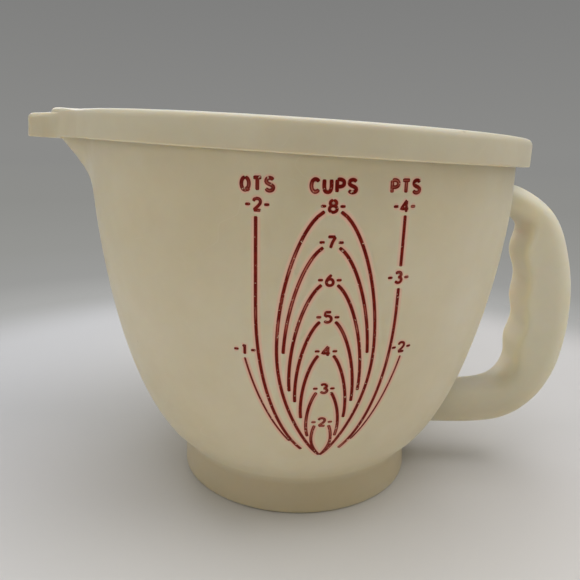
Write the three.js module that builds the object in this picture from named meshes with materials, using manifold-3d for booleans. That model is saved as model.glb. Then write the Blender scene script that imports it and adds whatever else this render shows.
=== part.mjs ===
// Measuring and mixing bowl with a pouring spout, a loop handle and a press-on lid.
// Millimetres, +Z up. The spout points to -X, the handle to +X, and the foot stands on z = 0.
import * as THREE from 'three';
import { mergeVertices } from 'three/addons/utils/BufferGeometryUtils.js';
import Module from 'manifold-3d';

const wasm = await Module();
wasm.setup();

// Fit between pieces
const clearance = 0.3;

// Bowl body: a full, rounded curve that ends in a straight upper wall
const bowlRadius = 85;
const bowlWall = 2.2;
const floorLift = 4.9;
const floorThickness = 2.6;
const curveHeight = 120.7;
const curveRise = 1.46;
const curveFullness = 4.1;

// Foot ring
const footRadius = 50.1;
const footThickness = 2.4;
const footFlare = 0.7;
const footEdge = 0.7;

// Rim: it slopes down from the spout to the handle and carries a flange for the lid
const rimTop = 146.6;
const rimSlope = 0.041;
const slopeStart = 60;
const rimFlange = 2.2;
const flangeHeight = 2.6;
const rimEdge = 0.5;

// Spout: a narrow lip that grows out of the round wall below the rim; the lid's nose covers its tip
const spoutReach = 13.5;
const spoutHalfWidth = 19;
const spoutStart = 120;
const spoutEase = 1.05;
const spoutFlare = 0.2;
const noseRise = 1.25;
const noseDrop = 0.85;

// Lid: skirt outside the rim, plug inside it, panel sunk in the middle, finger tab at the spout
const skirtDepth = 8.2;
const skirtThickness = 2.3;
const lidTop = 1.7;
const lidEdge = 1.8;
const plugThickness = 1.5;
const panelThickness = 1.6;
const tabLength = 6.7;
const tabWidth = 23;
const tabHeight = 9.8;
const tabFlare = 0.8;
const tabWall = 1.6;
const tabCorner = 3;

// Handle: a loop with a flat inner face for the fingers and a round back
const handleTop = 127.7;
const handleBottom = 19.3;
const handleReach = 34.9;
const handleWidth = 24;
const barDepth = 21.7;
const rootDepth = 12.5;
const lowDepth = 16.2;
const backFullness = 2.5;
const gripFullness = 4.5;
const gripPitch = 20;
const gripDepth = 0.8;
const gripLow = 57.5;
const gripFade = 10;

// Facets
const ringSegments = 72;
const curveSteps = 18;
const handleSteps = 44;
const handleSides = 26;
const tipCrowding = 0.35;

const curveTop = floorLift + curveHeight;
const lidSeat = rimTop + clearance;
const skirtEdge = lidSeat - skirtDepth;
const flangeRadius = bowlRadius + rimFlange;
const lidRadius = flangeRadius + clearance + skirtThickness;
const plugRadius = bowlRadius - bowlWall - clearance;
const tabBottom = skirtEdge - noseDrop;

const plastic = (name, color, roughness) => new THREE.MeshStandardMaterial({
  name, color, roughness, metalness: 0,
});
const bowlPlastic = plastic('bowl_plastic', 0xd9d0b4, 0.42);
const lidPlastic = plastic('lid_plastic', 0xdcd4bb, 0.45);
const handlePlastic = plastic('handle_plastic', 0xd6cfb6, 0.4);

const clamp01 = (value) => Math.min(1, Math.max(0, value));

// Share of the spout at an angle: 1 at its tip, falling off to both sides
function tipShare(angle) {
  const fromTip = ((Math.PI - Math.abs(angle)) * bowlRadius) / spoutHalfWidth;
  return Math.exp(-fromTip * fromTip);
}

// How many times wider than round the plan is at an angle
const tipSpread = (bowlRadius + spoutReach) / bowlRadius;
const spread = (angle) => 1 + (tipSpread - 1) * tipShare(angle);

// Share of the spout in the wall at a height: it swells up to the lid's edge and draws in a little above
function spoutShare(z) {
  if (z > skirtEdge) {
    return 1 + spoutFlare * clamp01((rimTop - z) / (rimTop - skirtEdge));
  }
  return (1 + spoutFlare) * clamp01((z - spoutStart) / (skirtEdge - spoutStart)) ** spoutEase;
}

// The rim and the lid are taller over the tip of the spout; the rise runs out wider than the drop
function noseStretch(z, angle) {
  const share = (z - skirtEdge) / (skirtDepth + lidTop);
  const tip = tipShare(angle);
  return noseRise * Math.sqrt(tip) * share - noseDrop * tip * (1 - share);
}

// Turns a profile that starts and ends on the axis; place() gives the point for a radius, height and angle
function turn(profile, place) {
  const rings = profile.slice(1, -1);
  const positions = [];
  const indices = [];
  const push = (point) => positions.push(point.x, point.y, point.z);
  for (const ring of rings) {
    for (let i = 0; i < ringSegments; i++) {
      const even = (i / ringSegments) * 2 * Math.PI - Math.PI;
      // columns stand closer together near the spout
      const angle = even + tipCrowding * Math.sin(even);
      push(place(ring.x, ring.y, angle));
    }
  }
  const first = rings.length * ringSegments;
  push(place(0, profile[0].y, 0));
  push(place(0, profile[profile.length - 1].y, 0));
  for (let i = 0; i < ringSegments; i++) {
    const j = (i + 1) % ringSegments;
    indices.push(first, j, i);
    for (let k = 0; k < rings.length - 1; k++) {
      const low = k * ringSegments;
      const high = low + ringSegments;
      indices.push(low + i, low + j, high + i, low + j, high + j, high + i);
    }
    const last = (rings.length - 1) * ringSegments;
    indices.push(last + i, last + j, first + 1);
  }
  const geometry = new THREE.BufferGeometry();
  geometry.setAttribute('position', new THREE.Float32BufferAttribute(positions, 3));
  geometry.setIndex(indices);
  return geometry;
}

// A point of the bowl: spout swelling, slope of the rim and the higher rim at the spout's tip
function placeOnBowl(radius, z, angle) {
  const plan = radius * (1 + (spread(angle) - 1) * spoutShare(z));
  const x = plan * Math.cos(angle);
  const slope = THREE.MathUtils.smoothstep(z, slopeStart, skirtEdge);
  const rise = z > skirtEdge ? Math.max(0, noseStretch(z, angle)) : 0;
  return new THREE.Vector3(x, plan * Math.sin(angle), z - rimSlope * x * slope + rise);
}

// A point of the lid: its skirt follows the flare of the spout, its plug stays upright so that it lifts out,
// and the middle of the panel stays flat
function placeOnLid(radius, z, angle) {
  const share = radius > bowlRadius ? spoutShare(Math.max(z, skirtEdge)) : 1;
  const plan = radius * (1 + (spread(angle) - 1) * share);
  const x = plan * Math.cos(angle);
  const outer = THREE.MathUtils.smoothstep(radius, plugRadius / 2, plugRadius - plugThickness);
  const rise = noseStretch(z, angle) * outer;
  return new THREE.Vector3(x, plan * Math.sin(angle), z - rimSlope * x + rise);
}

// Curve of the bowl's wall from the middle of its floor to the straight upper wall
function wallCurve(radius, low) {
  const points = [];
  for (let i = 0; i <= curveSteps; i++) {
    const fall = Math.cos((i / curveSteps) * (Math.PI / 2));
    const z = curveTop - (curveTop - low) * fall;
    points.push(new THREE.Vector2(radius * (1 - fall ** curveRise) ** (1 / curveFullness), z));
  }
  return points;
}

// Height of the outside wall curve at a radius
function wallHeight(radius) {
  const fall = (1 - (radius / bowlRadius) ** curveFullness) ** (1 / curveRise);
  return curveTop - curveHeight * fall;
}

const point = (r, z) => new THREE.Vector2(r, z);

function bowlProfile() {
  const footInside = footRadius - footThickness;
  const footOut = footRadius + footFlare;
  const outside = wallCurve(bowlRadius, floorLift);
  const inside = wallCurve(bowlRadius - bowlWall, floorLift + floorThickness).reverse();
  const flangeLow = rimTop - flangeHeight;
  return [
    ...outside.filter((p) => p.x < footInside - 2),
    point(footInside, wallHeight(footInside)),
    point(footInside, footEdge),
    point(footInside + footEdge, 0),
    point(footOut - footEdge, 0),
    point(footOut, footEdge),
    point(footRadius, wallHeight(footRadius)),
    ...outside.filter((p) => p.x > footRadius + 2),
    point(bowlRadius, (curveTop + skirtEdge) / 2),
    point(bowlRadius, skirtEdge),
    point(bowlRadius, flangeLow - rimFlange / 2),
    point(flangeRadius, flangeLow),
    point(flangeRadius, rimTop - rimEdge),
    point(flangeRadius - rimEdge, rimTop),
    point(bowlRadius - bowlWall + rimEdge, rimTop),
    point(bowlRadius - bowlWall, rimTop - rimEdge),
    point(bowlRadius - bowlWall, skirtEdge),
    point(bowlRadius - bowlWall, (curveTop + skirtEdge) / 2),
    ...inside,
  ];
}

function lidProfile() {
  const top = lidSeat + lidTop;
  const skirtInside = lidRadius - skirtThickness;
  const recess = plugRadius - plugThickness;
  const panel = skirtEdge + panelThickness;
  const edge = [];
  for (let i = 0; i <= 4; i++) {
    const turnBy = (i / 4) * (Math.PI / 2);
    edge.push(point(
      lidRadius - lidEdge + lidEdge * Math.cos(turnBy),
      top - lidEdge + lidEdge * Math.sin(turnBy),
    ));
  }
  return [
    point(0, skirtEdge),
    point(recess * 0.5, skirtEdge),
    point(recess - rimEdge, skirtEdge),
    point(plugRadius - rimEdge, skirtEdge + rimEdge),
    point(plugRadius, skirtEdge + 2 * rimEdge),
    point(plugRadius, lidSeat),
    point(skirtInside, lidSeat),
    point(skirtInside, skirtEdge + rimEdge),
    point(skirtInside + rimEdge, skirtEdge),
    point(lidRadius - rimEdge, skirtEdge),
    point(lidRadius, skirtEdge + rimEdge),
    ...edge,
    point(recess + rimEdge, top),
    point(recess, top - rimEdge),
    point(recess, panel + rimEdge),
    point(recess - rimEdge, panel),
    point(recess * 0.5, panel),
    point(0, panel),
  ];
}

// Joins, cuts and overlaps of closed solids
function toSolid(geometry) {
  const bare = geometry.clone();
  bare.deleteAttribute('normal');
  bare.deleteAttribute('uv');
  const merged = mergeVertices(bare, 1e-4);
  return new wasm.Manifold(new wasm.Mesh({
    numProp: 3,
    vertProperties: new Float32Array(merged.attributes.position.array),
    triVerts: new Uint32Array(merged.index.array),
  }));
}

function toGeometry(solid) {
  const mesh = solid.getMesh();
  const geometry = new THREE.BufferGeometry();
  geometry.setAttribute('position', new THREE.Float32BufferAttribute(mesh.vertProperties, 3));
  geometry.setIndex(Array.from(mesh.triVerts));
  return geometry;
}

// A rounded plate in plan, reaching from the spout's tip outward; its end leans out towards its lower edge
function tabBlock(inset, bottom, top) {
  const tip = lidRadius * tipSpread;
  const end = tip + tabLength - inset;
  const half = tabWidth / 2 - inset;
  const corner = tabCorner - Math.min(inset, tabCorner / 2);
  const start = tip - tabWidth;
  const shape = new THREE.Shape();
  shape.moveTo(-start, -half);
  shape.lineTo(-start, half);
  shape.lineTo(corner - end, half);
  shape.quadraticCurveTo(-end, half, -end, half - corner);
  shape.lineTo(-end, corner - half);
  shape.quadraticCurveTo(-end, -half, corner - end, -half);
  const slab = new THREE.ExtrudeGeometry(shape, {
    depth: top - bottom, bevelEnabled: false, curveSegments: 4,
  });
  slab.translate(0, 0, bottom);
  const position = slab.attributes.position;
  for (let i = 0; i < position.count; i++) {
    const x = position.getX(i);
    const z = position.getZ(i);
    const outward = clamp01((-x - tip) / tabLength);
    const below = (tabBottom + tabHeight - z) / tabHeight;
    position.setXYZ(i, x - tabFlare * outward * below, position.getY(i), z - rimSlope * x);
  }
  return slab;
}

function lidGeometry() {
  const body = toSolid(turn(lidProfile(), placeOnLid));
  // the tab stops halfway through the skirt, so that the rim's groove stays open
  const grooveRadius = lidRadius - skirtThickness / 2;
  const groove = toSolid(turn([
    point(0, tabBottom - tabHeight),
    point(grooveRadius, tabBottom - tabHeight),
    point(grooveRadius, skirtEdge),
    point(grooveRadius, lidSeat + lidTop),
    point(grooveRadius, lidSeat + 3 * tabHeight),
    point(0, lidSeat + 3 * tabHeight),
  ], placeOnLid));
  const tabTop = tabBottom + tabHeight;
  const block = toSolid(tabBlock(0, tabBottom, tabTop));
  const pocket = toSolid(tabBlock(tabWall, tabBottom - tabHeight, tabTop - tabWall));
  const tab = block.subtract(pocket).subtract(groove);
  return toGeometry(body.add(tab));
}

// Outlines of the handle's back and of its finger side, from the upper root to the lower one.
// Each pair is the share of the reach from the bowl's radius and the share of the height from the low end.
const backShares = [
  [-0.4, 1.034], [0.22, 0.986], [0.58, 0.912], [0.78, 0.82], [0.96, 0.63],
  [1, 0.462], [0.91, 0.256], [0.67, 0.113], [0.26, 0.02], [-1.15, -0.009],
];
const gripShares = [
  [-1.06, 1.029], [0.42, 0.979], [0.76, 0.912], [0.76, 0.84], [0.89, 0.654],
  [0.99, 0.43], [0.86, 0.17], [0.71, 0.063], [0, 0.011], [-3.03, -0.006],
];
const gripTop = handleTop - rootDepth;
const gripBottom = handleBottom + lowDepth;

function handleCurve(shares, reach, low, high) {
  const points = shares.map(([outward, upward]) => new THREE.Vector3(
    bowlRadius + reach * outward, 0, low + (high - low) * upward,
  ));
  return new THREE.CatmullRomCurve3(points, false, 'centripetal');
}

function handleGeometry() {
  const back = handleCurve(backShares, handleReach, handleBottom, handleTop);
  const grip = handleCurve(gripShares, handleReach - barDepth, gripBottom, gripTop);
  const positions = [];
  const indices = [];
  const ends = [];
  for (let k = 0; k <= handleSteps; k++) {
    const outer = back.getPoint(k / handleSteps);
    const inner = grip.getPoint(k / handleSteps);
    // finger ridges on the upright part of the loop
    const upright = THREE.MathUtils.smoothstep(inner.z - gripBottom, gripFade / 2, 1.5 * gripFade)
      * THREE.MathUtils.smoothstep(gripTop - inner.z, gripFade / 2, 1.5 * gripFade);
    inner.x -= gripDepth * upright * Math.cos(((inner.z - gripLow) / gripPitch) * 2 * Math.PI);
    const middle = outer.clone().add(inner).multiplyScalar(0.5);
    ends.push(middle);
    for (let i = 0; i < handleSides; i++) {
      const angle = (i / handleSides) * 2 * Math.PI;
      const along = Math.cos(angle);
      const across = Math.sin(angle);
      // round back, flatter finger side
      const power = 2 / (along > 0 ? backFullness : gripFullness);
      const reach = Math.sign(along) * Math.abs(along) ** power;
      const side = Math.sign(across) * Math.abs(across) ** power * (handleWidth / 2);
      positions.push(
        middle.x + (reach * (outer.x - inner.x)) / 2,
        side,
        middle.z + (reach * (outer.z - inner.z)) / 2,
      );
    }
  }
  for (let k = 0; k < handleSteps; k++) {
    for (let i = 0; i < handleSides; i++) {
      const j = (i + 1) % handleSides;
      const a = k * handleSides;
      const b = a + handleSides;
      indices.push(a + i, b + i, a + j, a + j, b + i, b + j);
    }
  }
  const firstEnd = positions.length / 3;
  for (const middle of [ends[0], ends[handleSteps]]) {
    positions.push(middle.x, middle.y, middle.z);
  }
  const lastRing = handleSteps * handleSides;
  for (let i = 0; i < handleSides; i++) {
    const j = (i + 1) % handleSides;
    indices.push(firstEnd, i, j);
    indices.push(firstEnd + 1, lastRing + j, lastRing + i);
  }
  const bar = new THREE.BufferGeometry();
  bar.setAttribute('position', new THREE.Float32BufferAttribute(positions, 3));
  bar.setIndex(indices);
  // the ends follow the bowl's wall and foot at the clearance
  const foot = footRadius + footFlare + clearance;
  const wall = wallCurve(bowlRadius + clearance, floorLift - clearance);
  const core = turn([
    point(0, -clearance),
    point(foot, -clearance),
    point(foot, wallHeight(foot) - clearance),
    ...wall.filter((p) => p.x > foot + 1),
    point(bowlRadius + clearance, skirtEdge),
    point(bowlRadius + clearance, rimTop),
    point(0, rimTop),
  ], placeOnBowl);
  return toGeometry(toSolid(bar).subtract(toSolid(core)));
}

function piece(name, geometry, material) {
  geometry.computeVertexNormals();
  const mesh = new THREE.Mesh(geometry, material);
  mesh.name = name;
  return mesh;
}

const measuringBowl = new THREE.Group();
measuringBowl.name = 'measuring_bowl';
measuringBowl.add(piece('bowl', turn(bowlProfile(), placeOnBowl), bowlPlastic));
measuringBowl.add(piece('handle', handleGeometry(), handlePlastic));
measuringBowl.add(piece('lid', lidGeometry(), lidPlastic));

// the origin is the middle of the base of the whole part
const bounds = new THREE.Box3().setFromObject(measuringBowl, true);
measuringBowl.position.x = -(bounds.min.x + bounds.max.x) / 2;

export default measuringBowl;
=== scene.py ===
import bmesh
import bpy
import math
from mathutils import Matrix, Vector


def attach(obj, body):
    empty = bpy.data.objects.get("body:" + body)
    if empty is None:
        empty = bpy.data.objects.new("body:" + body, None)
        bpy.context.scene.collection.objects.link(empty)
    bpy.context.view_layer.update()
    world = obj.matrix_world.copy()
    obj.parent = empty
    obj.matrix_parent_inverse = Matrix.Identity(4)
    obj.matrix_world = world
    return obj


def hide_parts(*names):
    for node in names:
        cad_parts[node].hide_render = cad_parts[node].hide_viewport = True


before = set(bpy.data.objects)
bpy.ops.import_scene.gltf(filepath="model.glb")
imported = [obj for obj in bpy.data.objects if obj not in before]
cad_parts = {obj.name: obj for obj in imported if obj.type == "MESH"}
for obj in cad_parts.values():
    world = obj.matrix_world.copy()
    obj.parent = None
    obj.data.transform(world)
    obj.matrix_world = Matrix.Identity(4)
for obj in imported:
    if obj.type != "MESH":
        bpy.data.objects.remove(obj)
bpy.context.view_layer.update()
mm = 0.001
print("frame loaded:", ", ".join(sorted(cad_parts)))


def footMiddle():
    # the foot ring stands on the floor, and its middle is the axis of the bowl
    standing = [v.co.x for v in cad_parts["bowl"].data.vertices if v.co.z < 0.2 * mm]
    return (min(standing) + max(standing)) / 2


axisX = footMiddle()


# sizes in millimetres, measured from the bowl's own axis and from the table
bowlSizes = {
    "radius": 85.0,
    "wall": 2.2,
    "floorLift": 4.9,        # underside of the floor above the table
    "floorThickness": 2.6,
    "curveHeight": 120.7,    # of the rounded part above floorLift; the wall above it is straight
    "curveRise": 1.46,
    "curveFullness": 4.1,
    "curveSteps": 72,
    "footRadius": 50.1,
    "footThickness": 2.4,
    "footFlare": 0.7,
    "footRound": 0.8,
    "footFillet": 6.0,       # between the foot ring and the wall
    "filletReach": 7.8,      # stretch of the wall's curve that the fillet replaces
    "innerFillet": 1.2,      # between the foot ring and the floor
    "rimTop": 146.6,
    "rimSlope": 0.041,       # the rim falls from the spout to the handle
    "slopeStart": 60.0,
    "rimFlange": 2.2,
    "flangeHeight": 2.6,
    "flangeRound": 0.5,
    "rimRound": 0.6,
    "gateRadius": 3.2,       # trimmed gate mark in the middle of the underside
    "gateDepth": 0.7,
    "gateTaper": 0.7,        # its lower end as a share of its radius
    "gateRound": 0.3,
    "cornerClear": 1.0,      # points of the wall's curve closer to a corner are left out
    "columns": 216,
}
spoutSizes = {
    "reach": 13.5,
    "halfWidth": 19.0,       # arc on the wall over which the tip falls off
    "start": 120.0,
    "ease": 1.05,
    "flare": 0.2,
    "noseRise": 1.25,        # the lid stands higher over the tip
    "noseDrop": 0.85,        # and hangs lower there
    "crowding": 0.35,        # how much closer the mesh columns stand at the tip
}
lidSizes = {
    "clearance": 0.3,
    "skirtDepth": 8.2,
    "skirtThickness": 2.3,
    "top": 1.7,
    "edgeRound": 2.6,
    "plugThickness": 1.5,
    "panelThickness": 1.6,
    "smallRound": 0.6,
    "seatRound": 0.4,
    "gateRadius": 2.4,
    "gateDepth": 0.35,
    "gateSlope": 0.4,
    "gateRound": 0.2,
}
tabSizes = {
    "length": 5.1,
    "width": 30.0,
    "height": 9.8,
    "flare": 0.8,            # the end leans out towards its lower edge
    "wall": 1.6,
    "corner": 3.0,
    "leastCorner": 0.8,
    "round": 2.0,
    "fillet": 6.0,           # sweep from the skirt into the sides of the tab
    "droop": 0.07,           # fall of the top towards the end, against the lid's slope
    "edgeRound": 0.3,        # lower edge, outside and inside
    "innerEdge": 0.2,
    "hollowDepth": 0.3,      # the hollow underside runs this far into the skirt
    "skirtOverlap": 0.12,    # and the fillets start this far inside it
    "support": 0.5,          # flat strips beside the roundings
    "sideSupport": 0.4,
    "bendSteps": 8,
    "roundSteps": 5,
}

curveTop = bowlSizes["floorLift"] + bowlSizes["curveHeight"]
lidSeat = bowlSizes["rimTop"] + lidSizes["clearance"]
skirtEdge = lidSeat - lidSizes["skirtDepth"]
flangeRadius = bowlSizes["radius"] + bowlSizes["rimFlange"]
skirtInside = flangeRadius + lidSizes["clearance"]
lidRadius = skirtInside + lidSizes["skirtThickness"]
plugRadius = bowlSizes["radius"] - bowlSizes["wall"] - lidSizes["clearance"]
recessRadius = plugRadius - lidSizes["plugThickness"]
tipSpread = (bowlSizes["radius"] + spoutSizes["reach"]) / bowlSizes["radius"]
spoutAngle = spoutSizes["halfWidth"] / bowlSizes["radius"]
tabBottom = skirtEdge - spoutSizes["noseDrop"]


def clamp01(value):
    return min(1.0, max(0.0, value))


def smoothstep(value, low, high):
    share = clamp01((value - low) / (high - low))
    return share * share * (3 - 2 * share)


def tipShare(angle):
    # 1 at the tip of the spout, falling off to both sides
    return math.exp(-((math.pi - abs(angle)) / spoutAngle) ** 2)


def planRadius(radius, angle, share):
    # radius in plan, widened towards the tip by a share of the spout's growth
    return radius * (1 + (tipSpread - 1) * tipShare(angle) * share)


def spoutShare(z):
    # the spout's growth at a height: none at its start, most at the skirt's edge, less above
    full = 1 + spoutSizes["flare"]
    if z > skirtEdge:
        drawIn = clamp01((bowlSizes["rimTop"] - z) / (bowlSizes["rimTop"] - skirtEdge))
        return 1 + spoutSizes["flare"] * drawIn
    swell = clamp01((z - spoutSizes["start"]) / (skirtEdge - spoutSizes["start"]))
    return full * swell ** spoutSizes["ease"]


def noseStretch(z, angle):
    # the rim and the lid are taller over the tip of the spout; the rise runs out wider than the drop
    share = (z - skirtEdge) / (lidSizes["skirtDepth"] + lidSizes["top"])
    tip = tipShare(angle)
    return spoutSizes["noseRise"] * math.sqrt(tip) * share - spoutSizes["noseDrop"] * tip * (1 - share)


def wallFall(x, z):
    # the wall takes up the rim's slope little by little
    return bowlSizes["rimSlope"] * x * smoothstep(z, bowlSizes["slopeStart"], skirtEdge)


def placeOnBowl(radius, z, angle):
    plan = planRadius(radius, angle, spoutShare(z))
    x = plan * math.cos(angle)
    rise = max(0.0, noseStretch(z, angle)) if z > skirtEdge else 0.0
    return (x, plan * math.sin(angle), z - wallFall(x, z) + rise)


def placeOnLid(radius, z, angle):
    share = spoutShare(max(z, skirtEdge)) if radius > bowlSizes["radius"] else 1.0
    plan = planRadius(radius, angle, share)
    x = plan * math.cos(angle)
    outer = smoothstep(radius, plugRadius / 2, recessRadius)
    rise = noseStretch(z, angle) * outer
    return (x, plan * math.sin(angle), z - bowlSizes["rimSlope"] * x + rise)


def curveShare(fall):
    # share of the full radius at a share of the way down the rounded part
    return (1 - fall ** bowlSizes["curveRise"]) ** (1 / bowlSizes["curveFullness"])


def wallRadius(z):
    # outside radius of the wall at a height
    return bowlSizes["radius"] * curveShare(clamp01((curveTop - z) / bowlSizes["curveHeight"]))


def wallHeight(radius):
    part = 1 - (radius / bowlSizes["radius"]) ** bowlSizes["curveFullness"]
    return curveTop - bowlSizes["curveHeight"] * part ** (1 / bowlSizes["curveRise"])


def wallCurve(radius, low):
    points = []
    for i in range(bowlSizes["curveSteps"] + 1):
        fall = math.cos(i / bowlSizes["curveSteps"] * math.pi / 2)
        points.append((radius * curveShare(fall), curveTop - (curveTop - low) * fall, 0.0))
    return points


def roundCorners(corners, steps=5, support=0.5, most=0.46):
    # corners are (radius, height, rounding); each rounding becomes an arc with a support point beside it,
    # and takes up no more than the given share of the sides next to it
    outline = []
    for i, (r, z, rounding) in enumerate(corners):
        corner = Vector((r, z))
        if rounding == 0 or i in (0, len(corners) - 1):
            outline.append(corner)
            continue
        before = Vector(corners[i - 1][:2]) - corner
        after = Vector(corners[i + 1][:2]) - corner
        opening = before.angle(after)
        cut = min(rounding / math.tan(opening / 2), most * before.length, most * after.length)
        start = corner + before.normalized() * cut
        end = corner + after.normalized() * cut
        if before.length > 4 * (cut + support):
            outline.append(start + before.normalized() * support)
        for k in range(steps + 1):
            t = k / steps
            outline.append((1 - t) ** 2 * start + 2 * t * (1 - t) * corner + t * t * end)
        if after.length > 4 * (cut + support):
            outline.append(end + after.normalized() * support)
    return outline


def joinRings(rings, count, first=0, capped=True):
    # faces between neighbouring rings of points, and over both ends of a capped tube
    faces = []
    for k in range(rings - 1):
        a = first + k * count
        b = a + count
        for i in range(count):
            j = (i + 1) % count
            faces.append((a + i, a + j, b + j, b + i))
    if capped:
        last = first + (rings - 1) * count
        faces.append(tuple(range(first, first + count)))
        faces.append(tuple(range(last, last + count)))
    return faces


def turnProfile(outline, place, columns):
    # turns an outline that starts and ends on the axis; columns stand closer together at the spout
    rings = outline[1:-1]
    angles = []
    for i in range(columns):
        even = i / columns * 2 * math.pi - math.pi
        angles.append(even + spoutSizes["crowding"] * math.sin(even))
    points = [place(ring[0], ring[1], angle) for ring in rings for angle in angles]
    first = len(points)
    points.append(place(0.0, outline[0][1], 0.0))
    points.append(place(0.0, outline[-1][1], 0.0))
    faces = joinRings(len(rings), columns, capped=False)
    last = first - columns
    for i in range(columns):
        j = (i + 1) % columns
        faces.append((first, j, i))
        faces.append((last + i, last + j, first + 1))
    return points, faces


def smoothFaces(mesh, sharpAngle):
    mesh.polygons.foreach_set("use_smooth", [True] * len(mesh.polygons))
    mesh.set_sharp_from_angle(angle=math.radians(sharpAngle))


def addObject(name, data):
    made = bpy.data.objects.new(name, data)
    bpy.context.scene.collection.objects.link(made)
    return made


def meshPiece(name, points, faces, sharpAngle=40):
    mesh = bpy.data.meshes.new(name)
    mesh.from_pydata([(x * mm + axisX, y * mm, z * mm) for x, y, z in points], [], faces)
    work = bmesh.new()
    work.from_mesh(mesh)
    bmesh.ops.recalc_face_normals(work, faces=work.faces)
    work.to_mesh(mesh)
    work.free()
    smoothFaces(mesh, sharpAngle)
    return addObject(name, mesh)


def weld(piece, addition, sharpAngle=40):
    # joins two closed pieces into one skin, without the faces hidden inside
    union = piece.modifiers.new("weld", "BOOLEAN")
    union.operation = "UNION"
    union.solver = "EXACT"
    union.object = addition
    evaluated = piece.evaluated_get(bpy.context.evaluated_depsgraph_get())
    joined = bpy.data.meshes.new_from_object(evaluated)
    piece.modifiers.clear()
    separate = (piece.data, addition.data)
    piece.data = joined
    smoothFaces(joined, sharpAngle)
    bpy.data.objects.remove(addition)
    for mesh in separate:
        bpy.data.meshes.remove(mesh)
    joined.name = piece.name


def makeBowl():
    s = bowlSizes
    clear = s["cornerClear"]
    footInside = s["footRadius"] - s["footThickness"]
    footOut = s["footRadius"] + s["footFlare"]
    inner = s["radius"] - s["wall"]
    flangeLow = s["rimTop"] - s["flangeHeight"]
    outside = wallCurve(s["radius"], s["floorLift"])
    inside = wallCurve(inner, s["floorLift"] + s["floorThickness"])
    gateLow = s["floorLift"] - s["gateDepth"]
    corners = [
        (0.0, gateLow, 0.0),
        (s["gateRadius"] * s["gateTaper"], gateLow, s["gateRound"]),
        (s["gateRadius"], s["floorLift"], s["gateRound"]),
    ]
    corners += [p for p in outside if s["gateRadius"] + clear < p[0] < footInside - 2 * clear]
    corners += [
        (footInside, wallHeight(footInside), s["innerFillet"]),
        (footInside, 0.0, s["footRound"]),
        (footOut, 0.0, s["footRound"]),
        (s["footRadius"], wallHeight(s["footRadius"]), s["footFillet"]),
    ]
    corners += [p for p in outside if p[0] > s["footRadius"] + s["filletReach"]]
    corners += [
        (s["radius"], (curveTop + skirtEdge) / 2, 0.0),
        (s["radius"], skirtEdge, 0.0),
        (s["radius"], flangeLow - s["rimFlange"] / 2, s["flangeRound"]),
        (flangeRadius, flangeLow, s["flangeRound"]),
        (flangeRadius, s["rimTop"], s["rimRound"]),
        (inner, s["rimTop"], s["rimRound"]),
        (inner, skirtEdge, 0.0),
        (inner, (curveTop + skirtEdge) / 2, 0.0),
    ]
    corners += list(reversed(inside))
    points, faces = turnProfile(roundCorners(corners), placeOnBowl, s["columns"])
    bowl = meshPiece("bowlMoulding", points, faces)
    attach(bowl, "vessel")
    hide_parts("bowl")
    return bowl


def skirtX(y, z, radius):
    # where the skirt of a radius crosses a distance from the middle plane, near the tip
    share = spoutShare(max(z, skirtEdge))
    sideways = 0.6  # radians round the axis, well past the tab
    low, high = math.pi - sideways, math.pi
    for step in range(40):
        middle = (low + high) / 2
        if planRadius(radius, middle, share) * math.sin(middle) > abs(y):
            low = middle
        else:
            high = middle
    return planRadius(radius, low, share) * math.cos(low)


def tabRing(inset, z, insideRadius):
    # one level of the tab: along the skirt inside, then a fillet, a side, two round corners,
    # the other side and its fillet
    s = tabSizes
    steps = s["bendSteps"]
    tip = lidRadius * tipSpread
    below = clamp01((tabBottom + s["height"] - z) / s["height"])
    end = tip + s["length"] + s["flare"] * below - inset
    half = s["width"] / 2 - inset
    wide = half + s["fillet"]
    corner = max(s["leastCorner"], s["corner"] - inset)
    ring = []
    for i in range(2 * steps + 1):
        y = wide - wide * i / steps
        ring.append((skirtX(y, z, insideRadius), y))
    for side in (-1, 1):
        root = Vector((skirtX(half, z, lidRadius), side * half))
        onSkirt = Vector((skirtX(wide, z, lidRadius - s["skirtOverlap"]), side * wide))
        onSide = root - Vector((s["fillet"], 0))
        bend = []
        for k in range(steps + 1):
            t = k / steps
            bend.append(tuple((1 - t) ** 2 * onSkirt + 2 * t * (1 - t) * root + t * t * onSide))
        for k in range(steps + 1):
            t = k / steps * math.pi / 2
            bend.append((-end + corner * (1 - math.sin(t)), side * (half - corner * (1 - math.cos(t)))))
        ring += bend if side == -1 else reversed(bend)
    droopFrom = tip - s["fillet"]
    droop = s["droop"] * (1 - below)
    return [(x, y, z - bowlSizes["rimSlope"] * x + droop * min(0.0, x + droopFrom)) for x, y in ring]


def tabShell():
    # levels of inset, height and the skirt radius behind them: down the hollow underside from its ceiling,
    # round the lower edge and up the outside
    s = tabSizes
    top = tabBottom + s["height"]
    ceiling = top - s["wall"]
    hollow = lidRadius - s["hollowDepth"]
    buried = lidRadius - lidSizes["skirtThickness"] / 2
    levels = [
        (s["wall"] + s["support"], ceiling, hollow),
        (s["wall"], ceiling - s["support"], hollow),
        (s["wall"], tabBottom + s["edgeRound"], hollow),
        (s["wall"] - s["innerEdge"], tabBottom, hollow),
        (s["edgeRound"], tabBottom, buried),
        (0.0, tabBottom + s["edgeRound"], buried),
        (0.0, top - s["round"] - s["sideSupport"], buried),
    ]
    for k in range(s["roundSteps"] + 1):
        t = k / s["roundSteps"] * math.pi / 2
        drop = s["round"] * (1 - math.sin(t))
        levels.append((s["round"] * (1 - math.cos(t)), top - drop, buried))
    levels.append((s["round"] + s["support"], top, buried))
    points = []
    for inset, z, radius in levels:
        points += tabRing(inset, z, radius)
    return points, joinRings(len(levels), len(points) // len(levels))


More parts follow.
